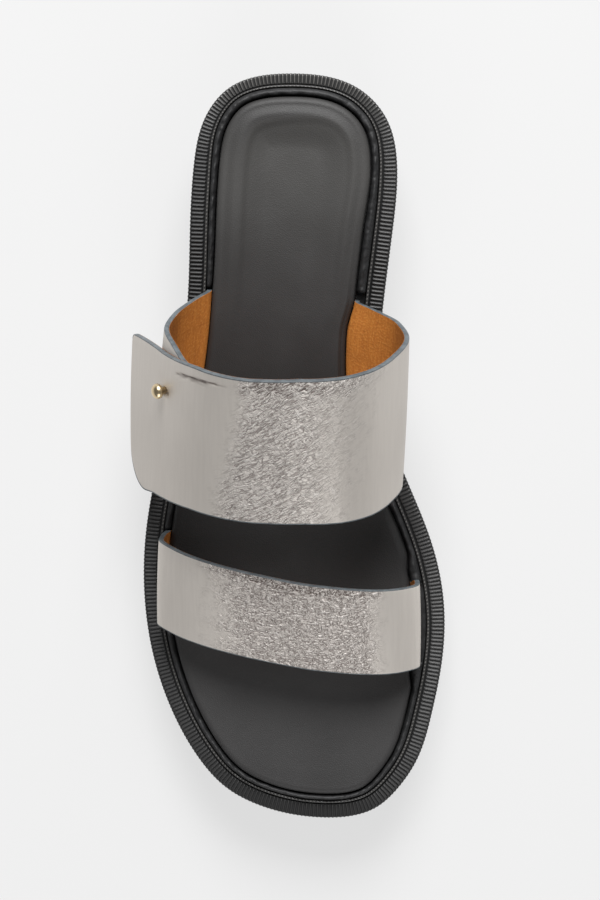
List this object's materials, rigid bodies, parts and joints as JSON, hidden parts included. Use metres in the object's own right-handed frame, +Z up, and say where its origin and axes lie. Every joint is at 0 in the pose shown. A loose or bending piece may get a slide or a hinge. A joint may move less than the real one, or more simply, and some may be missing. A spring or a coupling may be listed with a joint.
{
  "type": "slide sandal",
  "caption": "Right-foot slide sandal: two metallic leather straps, padded black footbed, ribbed welt and low heel.",
  "frame": {"origin": "on the heel lift's flat underside, near its middle", "axes": "+Y towards the back of the heel, +X towards the big-toe side, +Z up from the floor"},
  "size_m": [0.1108, 0.265, 0.0945],
  "materials": {
    "sole_rubber": "matt black rubber",
    "midsole_foam": "matt black foamed rubber",
    "welt_rubber": "satin black, fine ribs across the band",
    "black_leather": "smooth matt black leather",
    "metallic_leather": "pewter metallic grained leather, tan lining",
    "gilt_metal": "polished pale gilt"
  },
  "bodies": {
    "root": {"heel_lift": "sole_rubber", "heel": "sole_rubber", "outsole": "sole_rubber", "midsole": "midsole_foam", "welt": "welt_rubber", "insole": "black_leather", "footbed": "black_leather", "strap_front": "metallic_leather", "strap_instep_under": "metallic_leather", "strap_instep_over": "metallic_leather", "stud": "gilt_metal"}
  },
  "joints": []
}
